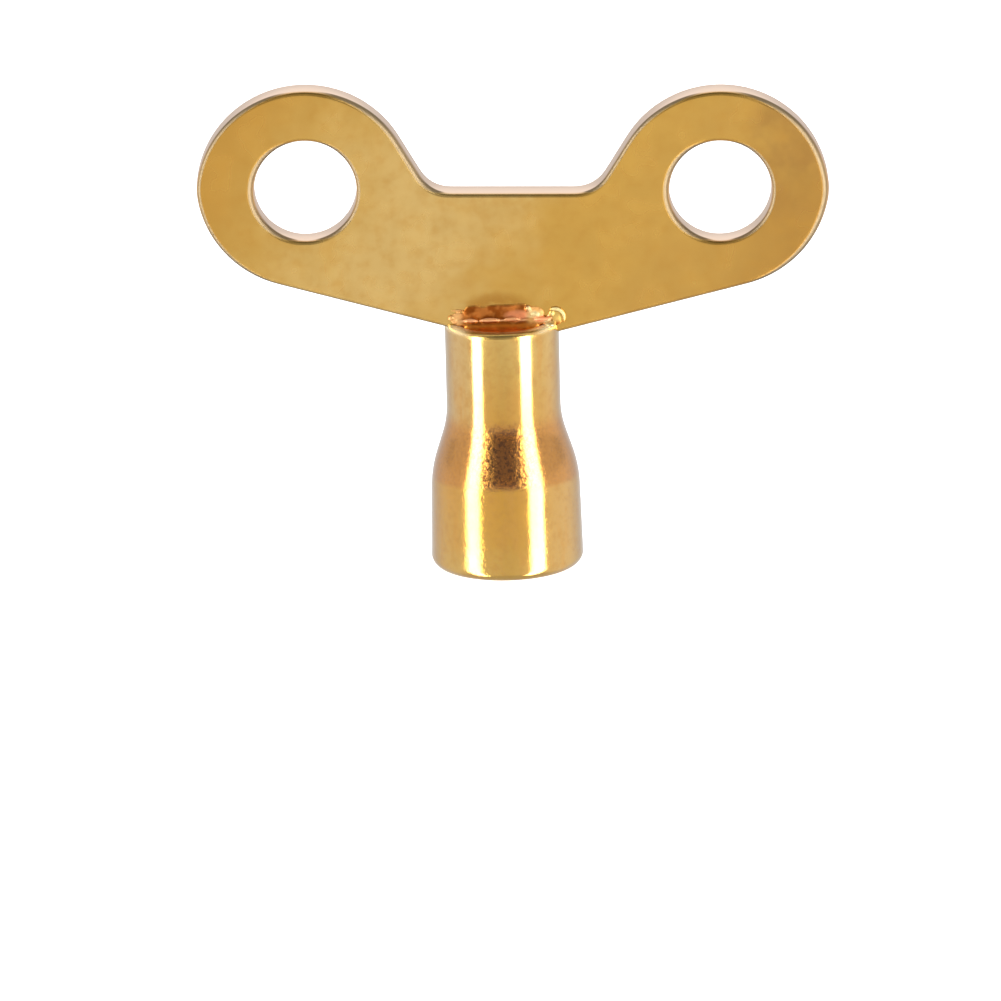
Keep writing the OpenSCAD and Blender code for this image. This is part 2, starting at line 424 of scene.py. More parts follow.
def add_fillet(bm, side, x_low, x_high):
    """A closed strip of braze: a hollow pool across the bore that sweeps up to a thin skin on the plate.

    Each row is a section at one x, as (distance out from the plate's face, height above the rim).
    """
    steps = 72
    plate_y = plate_t / 2
    rows = []
    for i in range(steps + 1):
        x = x_low + (x_high - x_low) * i / steps
        wall = max(math.sqrt(max((BORE_R + 0.12) ** 2 - x * x, 0.0)) - plate_y, 0.50)
        height = wetted_height(x, side)
        swell = 0.06 * noise.noise(Vector((x * 0.9, 3.0 * side, 11.0)))
        shape = [(wall, -0.10), (wall * 0.90, -0.19), (wall * 0.72, -0.23), (min(0.85, wall * 0.64), -0.20)]
        shape += [(min(0.58, wall * 0.5) + swell, -0.08), (0.40 + swell, 0.08), (0.30 + swell, 0.24)]
        shape += [(0.24 + swell, 0.36), (0.17, SKIN_FOOT)]
        for t in (0.2, 0.4, 0.6, 0.8):
            thickness = 0.13 * (1 - t) + 0.03
            thickness += 0.05 * noise.noise(Vector((x * 1.3, t * 1.6, 23.0 + side)))
            shape.append((thickness, SKIN_FOOT + (height - SKIN_FOOT) * t))
        floor_z = -POOL_DEPTH + 0.1
        shape += [(-0.03, height), (-0.06, height - 0.05), (-0.06, floor_z), (wall, floor_z)]
        rows.append([bm.verts.new((x, side * (plate_y + d), tube_h + z)) for d, z in shape])
    for a, b in zip(rows, rows[1:]):
        for j in range(len(a)):
            k = (j + 1) % len(a)
            bm.faces.new((a[j], b[j], b[k], a[k]))
    bm.faces.new(rows[0])
    bm.faces.new(list(reversed(rows[-1])))


def add_crescent(bm, side):
    """The round edge of the bead that spilled over the rim: a bent rod that lies on the plate's face."""
    steps = 24
    start, end = 118, -25                         # degrees, anticlockwise from the right
    for i in range(steps + 1):
        t = i / steps
        a = math.radians(start + (end - start) * t)
        thick = CRESCENT_ROD * (1 - 0.6 * abs(2 * t - 1) ** 3)
        x, z = CRESCENT_X + CRESCENT_R * math.cos(a), CRESCENT_Z + CRESCENT_R * math.sin(a)
        add_ellipsoid(bm, Vector((x, side * (plate_t / 2 + 0.02), tube_h + z)), (thick, thick, thick))


def add_underside(bm, side):
    """Half of the pool under the plate's tip, which shows as a disc when one looks up the socket."""
    floor_z = tube_h - POOL_DEPTH
    steps = 28
    top, low = [], []
    for i in range(steps + 1):
        a = math.pi * i / steps
        x, y = (BORE_R + 0.04) * math.cos(a), side * (BORE_R + 0.04) * math.sin(a)
        top.append(bm.verts.new((x, y, floor_z + 0.55)))
        low.append(bm.verts.new((x, y, floor_z + 0.05)))
    for i in range(steps):
        bm.faces.new((low[i], low[i + 1], top[i + 1], top[i]))
    bm.faces.new((low[-1], low[0], top[0], top[-1]))
    bm.faces.new(top)
    bm.faces.new(low)


def remesh(obj, voxel_mm, smoothing):
    """Joins a piece's overlapping shapes into one skin, and smooths it."""
    modifier = obj.modifiers.new("join", "REMESH")
    modifier.mode = "VOXEL"
    modifier.voxel_size = voxel_mm * MM
    relax = obj.modifiers.new("relax", "SMOOTH")
    relax.factor = 0.5
    relax.iterations = smoothing
    bpy.context.view_layer.update()
    evaluated = obj.evaluated_get(bpy.context.evaluated_depsgraph_get())
    mesh = bpy.data.meshes.new_from_object(evaluated)
    obj.modifiers.clear()
    old = obj.data
    obj.data = mesh
    bpy.data.meshes.remove(old)


def settle_braze(obj, side):
    """Makes the surface lumpy, and keeps the braze out of the plate and out of the tube's wall."""
    mesh = obj.data
    skin = 0.04                                   # how far the braze may sink into its neighbours, in mm
    tip_z = plate_mid.z - TIP_DROP
    normals = [v.normal.copy() for v in mesh.vertices]
    for vertex, normal in zip(mesh.vertices, normals):
        p = vertex.co / MM
        p = p + normal * 0.03 * noise.noise(p * 1.5)
        nearest = plate_t / 2 - skin if p.z > tip_z + 0.1 else 0.0
        p.y = side * max(side * p.y, nearest)
        r = math.hypot(p.x, p.y)
        if p.z < tube_h - 0.25:
            if BORE_R + skin < r < NECK_R - 0.3:
                p.x, p.y = p.x * (BORE_R + skin) / r, p.y * (BORE_R + skin) / r
        elif BORE_R + BORE_BREAK + 0.1 < r < NECK_R - RIM_ROUND:
            p.z = max(p.z, tube_h - skin)
        vertex.co = p * MM
    mesh.update()


def build_braze(name, side, beads):
    """One side's braze: side is -1 in front of the plate and 1 behind it."""
    bm = bmesh.new()
    add_fillet(bm, side, -3.2, 3.2)
    add_underside(bm, side)
    if side < 0:
        add_crescent(bm, side)
    for x, out, z, rx, ry, rz in beads:
        add_ellipsoid(bm, Vector((x, side * (plate_t / 2 + out), tube_h + z)), (rx, ry, rz))
    bmesh.ops.recalc_face_normals(bm, faces=bm.faces)
    mesh = bpy.data.meshes.new(name)
    bm.to_mesh(mesh)
    bm.free()
    mesh.transform(Matrix.Scale(MM, 4))
    obj = bpy.data.objects.new(name, mesh)
    bpy.context.scene.collection.objects.link(obj)
    remesh(obj, 0.045, 6)
    settle_braze(obj, side)
    smooth_shading(obj, 180)
    return obj


# Beads of braze in mm: x, distance out from the plate's face, height above the rim, and the three radii
FRONT_BEADS = [
    (-3.60, 0.06, 0.54, 0.25, 0.16, 0.20),        # the left end, where the braze ran out over the wall
    (-3.08, 0.00, 0.45, 0.58, 0.17, 0.50),
    (-3.12, 0.00, 1.06, 0.52, 0.10, 0.09),
    (-2.22, 0.22, 0.33, 0.48, 0.20, 0.17),        # the ridge along the top of the pool
    (-0.85, 0.24, 0.34, 0.70, 0.21, 0.18),
    (0.75, 0.20, 0.38, 0.60, 0.18, 0.15),
    (-0.10, 0.02, 1.12, 0.50, 0.07, 0.10),
    (2.30, -0.02, 0.72, 0.80, 0.17, 0.54),        # a low mound at the right of the skin
    (1.93, 0.08, 1.10, 0.22, 0.14, 0.24),         # three beads on it
    (2.43, 0.10, 0.66, 0.32, 0.14, 0.22),
    (2.77, 0.04, 0.94, 0.15, 0.11, 0.17),
    (2.95, 0.20, 0.34, 0.62, 0.20, 0.16),         # the run from the pool up to the lip
    (3.45, 0.42, 0.02, 0.46, 0.50, 0.19),
    (3.80, -0.03, 0.36, 0.62, 0.11, 0.60),        # the middle of the spilled bead
    (3.58, 0.02, 0.66, 0.22, 0.10, 0.24),
]
REAR_BEADS = [
    (3.35, 0.20, 0.10, 0.45, 0.30, 0.24),
    (-3.30, 0.18, 0.10, 0.45, 0.30, 0.26),
    (-1.20, 0.05, 0.86, 0.62, 0.11, 0.30),
    (1.50, 0.06, 0.62, 0.55, 0.12, 0.28),
]


# ================================================================ materials
class Nodes:
    """Short forms for building a node tree."""

    def __init__(self, tree):
        self.tree = tree
        tree.nodes.clear()

    def add(self, kind, **values):
        node = self.tree.nodes.new(kind)
        for key, value in values.items():
            setattr(node, key, value)
        return node

    def link(self, output, target):
        self.tree.links.new(output, target)

    def math(self, operation, a, b=None, clamp=False):
        node = self.tree.nodes.new("ShaderNodeMath")
        node.operation = operation
        node.use_clamp = clamp
        for socket, value in zip(node.inputs, (a, b)):
            if value is None:
                continue
            if isinstance(value, (int, float)):
                socket.default_value = value
            else:
                self.link(value, socket)
        return node.outputs[0]

    def times(self, *factors):
        product = factors[0]
        for factor in factors[1:]:
            product = self.math("MULTIPLY", product, factor)
        return product

    def ramp(self, value, low, high, to_low=0.0, to_high=1.0, smooth=True):
        """Takes value from the range low to high over to to_low to to_high, and holds it at the ends."""
        node = self.tree.nodes.new("ShaderNodeMapRange")
        node.interpolation_type = "SMOOTHSTEP" if smooth else "LINEAR"
        self.link(value, node.inputs["Value"])
        node.inputs["From Min"].default_value = low
        node.inputs["From Max"].default_value = high
        node.inputs["To Min"].default_value = to_low
        node.inputs["To Max"].default_value = to_high
        return node.outputs["Result"]

    def mix_colour(self, factor, a, b):
        node = self.tree.nodes.new("ShaderNodeMix")
        node.data_type = "RGBA"
        sockets = [s for s in node.inputs if s.type == "RGBA"]
        self.link(factor, node.inputs[0])
        for socket, value in zip(sockets, (a, b)):
            if isinstance(value, (tuple, list)):
                socket.default_value = (*value, 1.0)
            else:
                self.link(value, socket)
        return [s for s in node.outputs if s.type == "RGBA"][0]

    def mix_value(self, factor, a, b):
        node = self.tree.nodes.new("ShaderNodeMix")
        node.data_type = "FLOAT"
        self.link(factor, node.inputs[0])
        for socket, value in zip(node.inputs[2:4], (a, b)):
            if isinstance(value, (int, float)):
                socket.default_value = value
            else:
                self.link(value, socket)
        return node.outputs[0]

    def noise(self, vector, scale, detail=2.0, roughness=0.5):
        node = self.tree.nodes.new("ShaderNodeTexNoise")
        self.link(vector, node.inputs["Vector"])
        node.inputs["Scale"].default_value = scale
        node.inputs["Detail"].default_value = detail
        node.inputs["Roughness"].default_value = roughness
        return node.outputs["Fac"]


def metal_tree(name):
    """A metal material's tree, with its position in millimetres and its shader."""
    material = bpy.data.materials.new(name)
    material.use_nodes = True
    nodes = Nodes(material.node_tree)
    place = nodes.add("ShaderNodeTexCoord")
    scale = nodes.add("ShaderNodeVectorMath", operation="SCALE")
    nodes.link(place.outputs["Object"], scale.inputs[0])
    scale.inputs["Scale"].default_value = 1 / MM
    shader = nodes.add("ShaderNodeBsdfPrincipled")
    shader.inputs["Metallic"].default_value = 1.0
    output = nodes.add("ShaderNodeOutputMaterial")
    nodes.link(shader.outputs[0], output.inputs["Surface"])
    return material, nodes, scale.outputs["Vector"], shader


def add_bump(nodes, shader, layers):
    """Stacks bump layers, each (height output, depth in mm)."""
    previous = None
    for height, depth_mm in layers:
        bump = nodes.add("ShaderNodeBump")
        bump.inputs["Strength"].default_value = 1.0
        bump.inputs["Distance"].default_value = depth_mm * MM
        nodes.link(height, bump.inputs["Height"])
        if previous is not None:
            nodes.link(previous, bump.inputs["Normal"])
        previous = bump.outputs["Normal"]
    nodes.link(previous, shader.inputs["Normal"])


def colour_run(nodes, value, low, high, stops):
    """A smooth run of colours over a range of mm, given as (mm, colour) stops."""
    scaled = nodes.ramp(value, low, high, smooth=False)
    node = nodes.add("ShaderNodeValToRGB")
    node.color_ramp.interpolation = "B_SPLINE"
    elements = node.color_ramp.elements
    while len(elements) < len(stops):
        elements.new(0.5)
    for element, (at, colour) in zip(elements, stops):
        element.position = (at - low) / (high - low)
        element.color = (*colour, 1.0)
    nodes.link(scaled, node.inputs[0])
    return node.outputs["Color"]


def bell(nodes, split, centre, radii):
    """1 in the middle of an ellipse in X and Z, falling smoothly to 0 at its edge."""
    parts = []
    for axis, middle, radius in zip(("X", "Z"), centre, radii):
        offset = nodes.math("DIVIDE", nodes.math("SUBTRACT", split.outputs[axis], middle), radius)
        parts.append(nodes.times(offset, offset))
    return nodes.ramp(nodes.math("ADD", *parts), 1.0, 0.15)


# Colours of the plated sheet: a run across it from left to right, as (mm, colour), and its marks
SHEET_RUN = [
    (-21.0, (0.565, 0.305, 0.062)), (-15.0, (0.615, 0.368, 0.088)), (-8.0, (0.665, 0.440, 0.150)),
    (0.5, (0.675, 0.448, 0.155)), (5.5, (0.612, 0.350, 0.074)), (10.0, (0.612, 0.352, 0.075)),
    (16.0, (0.600, 0.345, 0.080)), (23.0, (0.500, 0.262, 0.058)),
]
SHEET_MOTTLE = (0.56, 0.290, 0.055)
SCORCHED = (0.44, 0.200, 0.034)                   # above the braze
BROWNED = (0.40, 0.200, 0.055)                    # on the right lobe
SHEET_EDGE = (0.76, 0.56, 0.42)                   # the cut wall of the sheet
SIDE_CORNER_SHADE = (0.200, 0.145, 0.080)               # painted shade on the rolled corner, where it faces sideways


def plate_material():
    """Brass plating on sheet, browned by the brazing and paler on the stamped edge's cut wall, with painted
    shade on the rolled corners where they face sideways.
    """
    material, nodes, place, shader = metal_tree("plated_sheet")
    split = nodes.add("ShaderNodeSeparateXYZ")
    nodes.link(place, split.inputs[0])
    blotch = nodes.noise(place, 0.22, 3.0, 0.55)
    drift = nodes.times(nodes.math("SUBTRACT", blotch, 0.5), 16.0)
    fallen = nodes.times(nodes.math("SUBTRACT", split.outputs["Z"], plate_mid.z), -0.7)
    along = nodes.math("ADD", nodes.math("ADD", split.outputs["X"], drift), fallen)
    base = colour_run(nodes, along, -24.0, 26.0, SHEET_RUN)
    fine = nodes.noise(place, 1.1, 3.0, 0.55)
    base = nodes.mix_colour(nodes.ramp(fine, 0.35, 0.85, 0.0, 0.50), base, SHEET_MOTTLE)
    scorch = bell(nodes, split, (-0.4, tube_h + 1.1), (2.9, 1.5))
    scorch = nodes.times(scorch, nodes.ramp(nodes.noise(place, 1.1, 2.0, 0.6), 0.30, 0.60, 0.25, 0.75))
    base = nodes.mix_colour(scorch, base, SCORCHED)
    browned = bell(nodes, split, (hole_right.x + 4.6, hole_right.z + 2.6), (3.6, 5.6))
    browned = nodes.times(browned, nodes.ramp(nodes.noise(place, 0.6, 2.0, 0.5), 0.25, 0.70, 0.10, 0.60))
    base = nodes.mix_colour(browned, base, BROWNED)
    edge = nodes.add("ShaderNodeAttribute", attribute_name="edge").outputs["Fac"]
    base = nodes.mix_colour(nodes.ramp(edge, 0.40, 0.95), base, SHEET_EDGE)
    facing = nodes.add("ShaderNodeSeparateXYZ")
    nodes.link(nodes.add("ShaderNodeNewGeometry").outputs["Normal"], facing.inputs[0])
    sideways = nodes.math("ABSOLUTE", facing.outputs["X"])
    corner = nodes.times(nodes.ramp(edge, 0.02, 0.12), nodes.ramp(edge, 0.99, 0.85))
    # painted shade: the rolled corner is darkened where it faces sideways
    side_corner_shade = nodes.times(nodes.ramp(sideways, 0.10, 0.28), nodes.ramp(sideways, 0.90, 0.60), corner)
    base = nodes.mix_colour(side_corner_shade, base, SIDE_CORNER_SHADE)
    nodes.link(base, shader.inputs["Base Color"])
    rough = nodes.ramp(nodes.noise(place, 0.5, 1.5, 0.4), 0.25, 0.75, 0.215, 0.285)
    rough = nodes.mix_value(nodes.ramp(edge, 0.4, 0.95), rough, 0.30)
    nodes.link(nodes.mix_value(side_corner_shade, rough, 0.48), shader.inputs["Roughness"])
    grain = nodes.noise(place, 8.0, 3.0, 0.6)
    wave = nodes.noise(place, 0.8, 2.0, 0.5)
    shear = nodes.add("ShaderNodeMapping")
    nodes.link(place, shear.inputs["Vector"])
    shear.inputs["Scale"].default_value = (5.0, 0.6, 5.0)
    scratch = nodes.times(nodes.noise(shear.outputs[0], 1.4, 3.0, 0.6), nodes.ramp(edge, 0.7, 1.0))
    add_bump(nodes, shader, [(wave, 0.010), (grain, 0.0012), (scratch, 0.006)])
    return material


# Colours of the plated tube: a run up it from the foot to the rim, as (mm, colour), and its marks
TUBE_RUN = [
    (0.8, (0.585, 0.350, 0.070)), (3.0, (0.595, 0.305, 0.036)), (11.0, (0.595, 0.290, 0.030)),
    (14.0, (0.600, 0.350, 0.062)), (18.0, (0.650, 0.420, 0.112)),
]
# painted sheen: a paler colour towards the tube's left and right sides
TUBE_SIDE_SHEEN = (0.630, 0.405, 0.150)
TUBE_STREAK = (0.625, 0.315, 0.055)
TUBE_MOTTLE = (0.52, 0.245, 0.036)
# tarnish on the flare, with painted shade in its middle and a painted sheen beside the highlights
TARNISH_SHADED_MIDDLE, TARNISH_LIT_BESIDE = (0.40, 0.130, 0.024), (0.61, 0.275, 0.058)
TARNISH_SIDES, TARNISH_SPECK = (0.56, 0.240, 0.045), (0.18, 0.062, 0.018)
# the rim's bare cut face, with a painted highlight towards its sides
RIM_MIDDLE, RIM_SIDES_HIGHLIGHT = (0.60, 0.36, 0.17), (0.80, 0.63, 0.38)
LIP_HIGHLIGHT = (0.62, 0.54, 0.34)                          # painted highlight, pale, on the rim's outer edge at the sides


def tube_material():
    """Brass plating on tube: bright on the neck and barrel, tarnished and grainy on the flare. Painted
    shade darkens the flare's middle, painted sheen lightens the tube's sides and the flare beside its
    highlights, and painted highlights pale the rim's outer edge and its cut face at the sides.
    """
    material, nodes, place, shader = metal_tree("plated_tube")
    split = nodes.add("ShaderNodeSeparateXYZ")
    nodes.link(place, split.inputs[0])
    x, z = split.outputs["X"], split.outputs["Z"]
    reach = nodes.math("ABSOLUTE", x)
    raised = nodes.math("ADD", z, nodes.times(reach, 0.05))
    flare = nodes.times(nodes.ramp(raised, 6.65, 7.15), nodes.ramp(z, 11.8, 10.4))
    barrel = nodes.ramp(z, 8.2, 6.2)
    blotch = nodes.noise(place, 0.30, 3.0, 0.6)
    shade = nodes.times(nodes.math("SUBTRACT", blotch, 0.5), 5.0)
    base = colour_run(nodes, nodes.math("ADD", z, shade), 0.0, 20.0, TUBE_RUN)
    # painted sheen: paler towards the tube's left and right sides, more so up its left side
    aside = nodes.times(nodes.ramp(x, -1.0, -3.2), nodes.ramp(z, 8.5, 12.0, 0.25, 0.9))
    aside = nodes.math("MAXIMUM", aside, nodes.ramp(x, 1.2, 4.0, 0.0, 0.55))
    base = nodes.mix_colour(aside, base, TUBE_SIDE_SHEEN)
    drawn = nodes.add("ShaderNodeMapping")
    nodes.link(place, drawn.inputs["Vector"])
    drawn.inputs["Scale"].default_value = (1.0, 1.0, 0.28)
    streak = nodes.ramp(nodes.noise(drawn.outputs[0], 0.9, 3.0, 0.6), 0.46, 0.68, 0.0, 0.55)
    base = nodes.mix_colour(streak, base, TUBE_STREAK)
    mottle = nodes.ramp(nodes.noise(place, 1.5, 4.0, 0.65), 0.42, 0.70, 0.0, 0.40)
    base = nodes.mix_colour(mottle, base, TUBE_MOTTLE)
    # tarnish, darkened in the middle as painted shade and paler beside the highlights as painted sheen
    tarnish_shade_and_sheen = nodes.mix_colour(nodes.ramp(reach, 0.35, 1.2), TARNISH_SHADED_MIDDLE, TARNISH_LIT_BESIDE)
    tarnish_shade_and_sheen = nodes.mix_colour(nodes.ramp(reach, 1.8, 2.8), tarnish_shade_and_sheen, TARNISH_SIDES)
    base = nodes.mix_colour(nodes.times(flare, 0.85), base, tarnish_shade_and_sheen)
    speck = nodes.noise(place, 3.6, 3.0, 0.7)
    inwards = nodes.ramp(reach, 3.2, 1.2, 0.15, 1.0)
    dark = nodes.times(nodes.ramp(speck, 0.45, 0.62), nodes.times(flare, inwards))
    base = nodes.mix_colour(nodes.times(dark, 0.80), base, TARNISH_SPECK)
    edge = nodes.add("ShaderNodeAttribute", attribute_name="edge").outputs["Fac"]
    # the bare cut face of the rim, with a painted highlight towards its sides
    bare_rim_and_highlight = nodes.mix_colour(nodes.ramp(reach, 1.8, 3.1), RIM_MIDDLE, RIM_SIDES_HIGHLIGHT)
    base = nodes.mix_colour(edge, base, bare_rim_and_highlight)
    # painted highlight: pale and less metallic on the rim's outer edge at the sides
    lip_highlight = nodes.times(nodes.ramp(z, tube_h - 0.40, tube_h - 0.12), nodes.ramp(reach, 2.0, 3.2))
    base = nodes.mix_colour(lip_highlight, base, LIP_HIGHLIGHT)
    nodes.link(base, shader.inputs["Base Color"])
    nodes.link(nodes.mix_value(lip_highlight, 1.0, 0.35), shader.inputs["Metallic"])
    shader.inputs["Coat Weight"].default_value = 0.8
    shader.inputs["Coat Roughness"].default_value = 0.13
    rough = nodes.ramp(nodes.noise(place, 0.7, 4.0, 0.6), 0.3, 0.7, 0.08, 0.14)
    rough = nodes.mix_value(flare, rough, 0.135)
    rough = nodes.mix_value(nodes.ramp(z, tube_h - 0.6, tube_h - 0.3), rough, 0.24)
    nodes.link(nodes.mix_value(edge, rough, 0.36), shader.inputs["Roughness"])
    grain = nodes.math("SUBTRACT", nodes.noise(place, 3.3, 4.0, 0.65), 0.5)
    rubbed = nodes.times(flare, nodes.ramp(reach, 1.3, 2.3, 1.0, 0.2))
    scuffed = nodes.times(barrel, nodes.ramp(x, 0.8, -0.8, 0.14, 0.34))
    depth = nodes.math("ADD", rubbed, nodes.math("ADD", scuffed, 0.10))
    fine = nodes.math("SUBTRACT", nodes.noise(place, 4.6, 2.0, 0.6), 0.5)
    fine = nodes.times(fine, nodes.ramp(z, 11.5, 7.5), nodes.ramp(x, 0.5, -1.5, 1.0, 1.9))
    add_bump(nodes, shader, [(nodes.times(grain, depth), 0.034), (fine, 0.005)])
    return material


# Colours of the braze
SKIN_LIGHT, SKIN_DARK, SKIN_PINK = (0.48, 0.155, 0.030), (0.27, 0.066, 0.008), (0.72, 0.260, 0.110)
POOL_LIGHT, POOL_DARK = (0.74, 0.270, 0.045), (0.62, 0.190, 0.022)
RIDGE, LEFT_END = (0.60, 0.290, 0.120), (0.52, 0.290, 0.100)
# the beads' colours, with a pale painted highlight on their raised tops
BEADS_LOW, BEADS_HIGHLIGHT, BEADS_PINK = (0.52, 0.260, 0.070), (0.56, 0.450, 0.210), (0.78, 0.330, 0.150)
# the spilled bead: a pale painted highlight on its rounded rim, plate-like in the middle
SPILL_RIM_HIGHLIGHT, SPILL_MIDDLE = (0.52, 0.430, 0.190), (0.58, 0.370, 0.100)
# a pale painted highlight on the lip, right of the plate
LIP_PATCH_HIGHLIGHT = (0.60, 0.480, 0.240)
THIN_SKIN = (0.50, 0.240, 0.050)


def braze_material():
    """Coppery braze: dark on the plate, bright in the pool, brassy where it ran out at the ends, with pale
    painted highlights on the beads' tops, the spilled bead's rim and a patch on the lip.
    """
    material, nodes, place, shader = metal_tree("copper_braze")
    split = nodes.add("ShaderNodeSeparateXYZ")
    nodes.link(place, split.inputs[0])
    x, z = split.outputs["X"], split.outputs["Z"]
    out = nodes.math("SUBTRACT", nodes.math("ABSOLUTE", split.outputs["Y"]), plate_t / 2)
    blotch = nodes.noise(place, 1.2, 2.0, 0.55)
    skin = nodes.mix_colour(nodes.ramp(blotch, 0.40, 0.62), SKIN_LIGHT, SKIN_DARK)
    skin = nodes.mix_colour(bell(nodes, split, (1.2, tube_h + 0.62), (1.2, 0.50)), skin, SKIN_PINK)
    pool = nodes.mix_colour(nodes.ramp(blotch, 0.35, 0.60), POOL_LIGHT, POOL_DARK)
    base = nodes.mix_colour(nodes.ramp(out, 0.30, 0.50), skin, pool)
    ridge = nodes.times(nodes.ramp(out, 0.20, 0.27), nodes.ramp(z, tube_h + 0.24, tube_h + 0.32))
    base = nodes.mix_colour(ridge, base, RIDGE)
    left_end = nodes.times(nodes.ramp(x, -2.6, -3.1), nodes.ramp(z, tube_h - 0.2, tube_h + 0.2))
    base = nodes.mix_colour(nodes.times(left_end, 0.8), base, LEFT_END)
    front = nodes.ramp(split.outputs["Y"], 0.2, -0.2)
    right_end = nodes.times(nodes.ramp(x, 1.55, 2.1), nodes.ramp(z, tube_h - 0.1, tube_h + 0.3), front)
    spilled = nodes.times(nodes.ramp(x, 3.2, 3.5), front)
    rim = nodes.times(nodes.ramp(out, 0.09, 0.13), nodes.ramp(z, tube_h + 0.05, tube_h + 0.30))
    inner = nodes.times(spilled, nodes.math("SUBTRACT", 1.0, rim))
    below = nodes.ramp(z, tube_h + 0.32, tube_h + 0.22)
    # painted highlight: a pale patch on the lip at the right
    lip_patch_highlight = nodes.times(nodes.ramp(x, 2.9, 3.2), nodes.ramp(out, 0.15, 0.25), below)
    # painted highlight: the raised tops of the beads are pale cream
    raised = nodes.times(nodes.ramp(out, 0.09, 0.17), nodes.ramp(z, tube_h + 0.38, tube_h + 0.58))
    beads = nodes.mix_colour(raised, BEADS_LOW, BEADS_HIGHLIGHT)
    # painted highlight on the spilled bead's rim
    beads = nodes.mix_colour(spilled, beads, SPILL_RIM_HIGHLIGHT)
    beads = nodes.mix_colour(inner, beads, SPILL_MIDDLE)
    beads = nodes.mix_colour(bell(nodes, split, (2.95, tube_h + 0.36), (0.85, 0.30)), beads, BEADS_PINK)
    base = nodes.mix_colour(right_end, base, beads)
    base = nodes.mix_colour(nodes.times(lip_patch_highlight, front), base, LIP_PATCH_HIGHLIGHT)
    thin = nodes.times(nodes.ramp(out, 0.06, 0.0), nodes.ramp(z, tube_h + 0.4, tube_h + 0.9))
    base = nodes.mix_colour(nodes.times(thin, 0.75), base, THIN_SKIN)
    nodes.link(base, shader.inputs["Base Color"])
    rough = nodes.ramp(nodes.noise(place, 1.7, 2.0, 0.5), 0.3, 0.7, 0.34, 0.44)
    ends = nodes.math("MAXIMUM", right_end, left_end)
    ends = nodes.math("MAXIMUM", ends, nodes.math("MAXIMUM", ridge, lip_patch_highlight))
    ends = nodes.math("SUBTRACT", ends, inner, clamp=True)
    nodes.link(nodes.mix_value(ends, rough, 0.50), shader.inputs["Roughness"])
    nodes.link(nodes.mix_value(ends, 1.0, 0.55), shader.inputs["Metallic"])
    lumps = nodes.noise(place, 1.5, 1.0, 0.4)
    grain = nodes.noise(place, 7.0, 2.0, 0.5)
    add_bump(nodes, shader, [(lumps, 0.03), (grain, 0.0015)])
    return material


# ================================================================ studio
def floor_material():
    """A pale floor, which glows a little and is seen through from below."""
    material = bpy.data.materials.new("pale_floor")
    material.use_nodes = True
    nodes = Nodes(material.node_tree)
    diffuse = nodes.add("ShaderNodeBsdfDiffuse")
    diffuse.inputs["Color"].default_value = (0.85, 0.85, 0.85, 1)
    glow = nodes.add("ShaderNodeEmission")
    glow.inputs["Color"].default_value = (1, 1, 1, 1)
    glow.inputs["Strength"].default_value = 0.78
    add = nodes.add("ShaderNodeAddShader")
    nodes.link(diffuse.outputs[0], add.inputs[0])
    nodes.link(glow.outputs[0], add.inputs[1])
    clear = nodes.add("ShaderNodeBsdfTransparent")
    geometry = nodes.add("ShaderNodeNewGeometry")
    mix = nodes.add("ShaderNodeMixShader")
    nodes.link(geometry.outputs["Backfacing"], mix.inputs[0])
    nodes.link(add.outputs[0], mix.inputs[1])
    nodes.link(clear.outputs[0], mix.inputs[2])
    output = nodes.add("ShaderNodeOutputMaterial")
    nodes.link(mix.outputs[0], output.inputs["Surface"])
    return material


def build_floor():
    """A floor that the camera sees, but that reflections don't see and that blocks no light."""
    side = 3000.0                                 # half the floor's width, in mm
    low = -0.02                                   # just under the foot's face, so that they don't coincide
    corners = [(-side, -side, low), (side, -side, low), (side, side, low), (-side, side, low)]
    floor = make_object("floor", corners, [(0, 1, 2, 3)])
    floor.data.materials.append(floor_material())
    floor.visible_glossy = False
    floor.visible_shadow = False


# Brightness of the studio's parts, and the softboxes as azimuth, half width, lowest, highest, brightness
TABLE_FRONT, TABLE_LEFT, TABLE_RIGHT, TABLE_BACK, TABLE_UNDER = 0.93, 1.0, 1.12, 0.72, 0.72
HAZE_FRONT, CEILING_FRONT, CEILING_DARK = 0.26, 0.40, 0.17
FLANK_NEAR, FLANK_FAR, BACKDROP = 0.92, 0.50, 1.25
SOFTBOXES = [(-53.0, 10.4, -58.0, 30.0, 10.0), (47.5, 11.4, -58.0, 30.0, 11.0)]
SOFTBOX_UPPER = 12.0                              # the softboxes' brightness above the horizon


